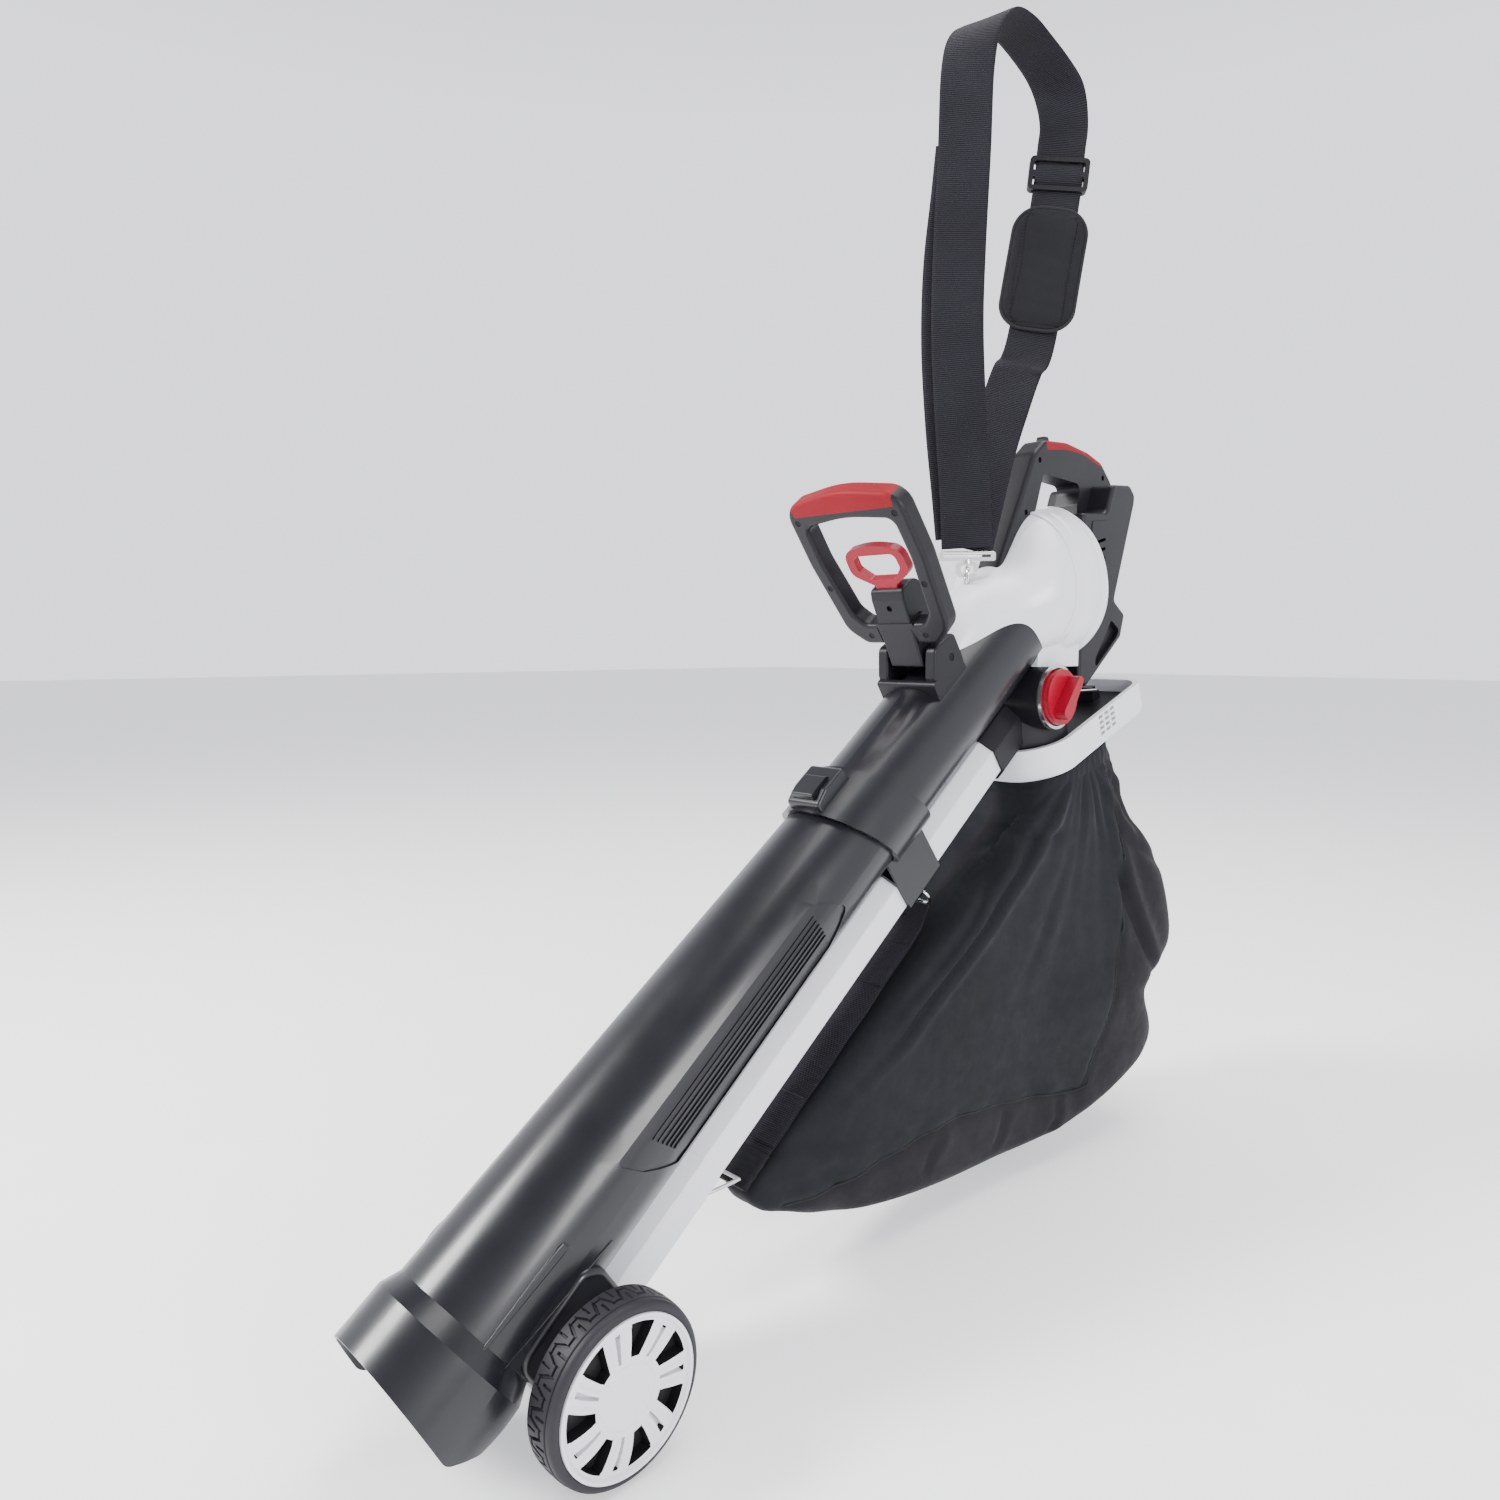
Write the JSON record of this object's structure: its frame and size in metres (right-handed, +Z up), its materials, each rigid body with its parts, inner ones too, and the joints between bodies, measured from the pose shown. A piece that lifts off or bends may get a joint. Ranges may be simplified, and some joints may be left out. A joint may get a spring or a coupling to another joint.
{
  "type": "garden leaf blower and vacuum",
  "caption": "Cordless garden blower and vacuum: suction tube with wheels over a slim blow tube, fan housing, two handles, mode knob, cloth collection bag and shoulder strap.",
  "frame": {"origin": "middle of the bounding box at floor level, under the object", "axes": "+X across to the side with the mode knob, -Y towards the suction mouth, +Y towards the rear handle, +Z up along the raised shoulder strap"},
  "size_m": [0.2034, 0.9669, 1.167],
  "materials": {
    "black_gloss": "satin black moulded plastic with a soft sheen",
    "grey_shell": "light grey painted plastic",
    "dark_plastic": "dark grey textured plastic",
    "red_grip": "red soft-touch rubber",
    "red_gloss": "red glossy plastic",
    "steel": "plain steel",
    "bright_steel": "bright nickel plate",
    "tyre_black": "black moulded tread rubber",
    "rim_grey": "light silver-grey plastic",
    "bag_cloth": "black woven polyester",
    "webbing": "black ribbed webbing",
    "board_green": "green circuit board",
    "copper_alloy": "bronze bearing alloy",
    "motor_steel": "dark painted steel can"
  },
  "bodies": {
    "blower": {"suction_tube_lower": "black_gloss", "suction_tube_upper": "black_gloss", "tube_collar": "black_gloss", "collar_screw": "steel", "blow_nozzle": "grey_shell", "blow_tube_lower": "grey_shell", "blow_tube_upper": "grey_shell", "axle": "steel", "axle_bushes": "dark_plastic", "axle_clips": "steel", "handle_bracket": "dark_plastic", "handle_pivot_pin": "steel", "motor": "motor_steel", "motor_bearings": "copper_alloy", "rear_grip": "red_grip", "power_switch": "dark_plastic", "rear_screws": "steel", "terminal_block": "dark_plastic", "control_board": "board_green", "diverter_housing": "dark_plastic", "knob_ring": "bright_steel", "bag_frame": "grey_shell", "frame_plate": "dark_plastic", "collection_bag": "bag_cloth", "bag_strap": "webbing", "d_ring": "bright_steel", "bag_hook": "steel", "hook_eye": "grey_shell", "strap_webbing": "webbing", "strap_pad": "bag_cloth", "strap_slider": "dark_plastic", "strap_eye": "bright_steel", "snap_hook": "bright_steel", "volute_left": "grey_shell", "rear_body_left": "dark_plastic", "vent_panel_left": "dark_plastic", "volute_right": "grey_shell", "rear_body_right": "dark_plastic", "vent_panel_right": "dark_plastic"},
    "wheel_left": {"wheel_rim_left": "rim_grey", "tyre_left": "tyre_black"},
    "wheel_right": {"wheel_rim_right": "rim_grey", "tyre_right": "tyre_black"},
    "front_handle": {"front_handle_front_half": "dark_plastic", "front_handle_rear_half": "dark_plastic", "front_handle_grip": "red_grip", "front_handle_screws": "steel", "release_tongue": "dark_plastic", "release_spring": "steel"},
    "release": {"release_ring": "red_gloss", "release_pin": "steel"},
    "rotor": {"impeller": "dark_plastic", "motor_shaft": "steel", "cooling_fan": "dark_plastic"},
    "slider": {"power_slider": "dark_plastic"},
    "mode": {"mode_knob": "red_gloss", "diverter_flap": "dark_plastic"},
    "bail": {"latch_bail": "bright_steel"},
    "gate": {"hook_gate": "bright_steel"}
  },
  "joints": [
    {"name": "wheel_left_spin", "type": "hinge", "parent": "blower", "child": "wheel_left", "pos_m": [-0.087, -0.3395, 0.0625], "axis": [1, 0, 0], "continuous": true},
    {"name": "wheel_right_spin", "type": "hinge", "parent": "blower", "child": "wheel_right", "pos_m": [0.087, -0.3395, 0.0625], "axis": [1, 0, 0], "continuous": true},
    {"name": "front_handle_tilt", "type": "hinge", "parent": "blower", "child": "front_handle", "pos_m": [0, 0.09523, 0.54596], "axis": [1, 0, 0], "range_deg": [-35, 25]},
    {"name": "release_pull", "type": "slide", "parent": "front_handle", "child": "release", "axis": [0, -0.6074, 0.7944], "range_m": [0, 0.008], "stiffness_N_per_m": 600, "springref_m": -0.004},
    {"name": "fan_spin", "type": "hinge", "parent": "blower", "child": "rotor", "pos_m": [0, 0.3005, 0.611], "axis": [0, 1, 0], "continuous": true},
    {"name": "power_slide", "type": "slide", "parent": "blower", "child": "slider", "axis": [0, 1, 0], "range_m": [0, 0.008]},
    {"name": "mode_turn", "type": "hinge", "parent": "blower", "child": "mode", "pos_m": [0, 0.2495, 0.504], "axis": [1, 0, 0], "range_deg": [-90, 0]},
    {"name": "bail_swing", "type": "hinge", "parent": "blower", "child": "bail", "pos_m": [0, 0.39511, 0.50596], "axis": [1, 0, 0], "range_deg": [-100, 12]},
    {"name": "gate_swing", "type": "hinge", "parent": "blower", "child": "gate", "pos_m": [0.00619, 0.17147, 0.631], "axis": [-0.6947, 0.7193, 0], "range_deg": [-25, 0], "stiffness_Nm_per_rad": 0.02, "springref_deg": 5.73}
  ]
}
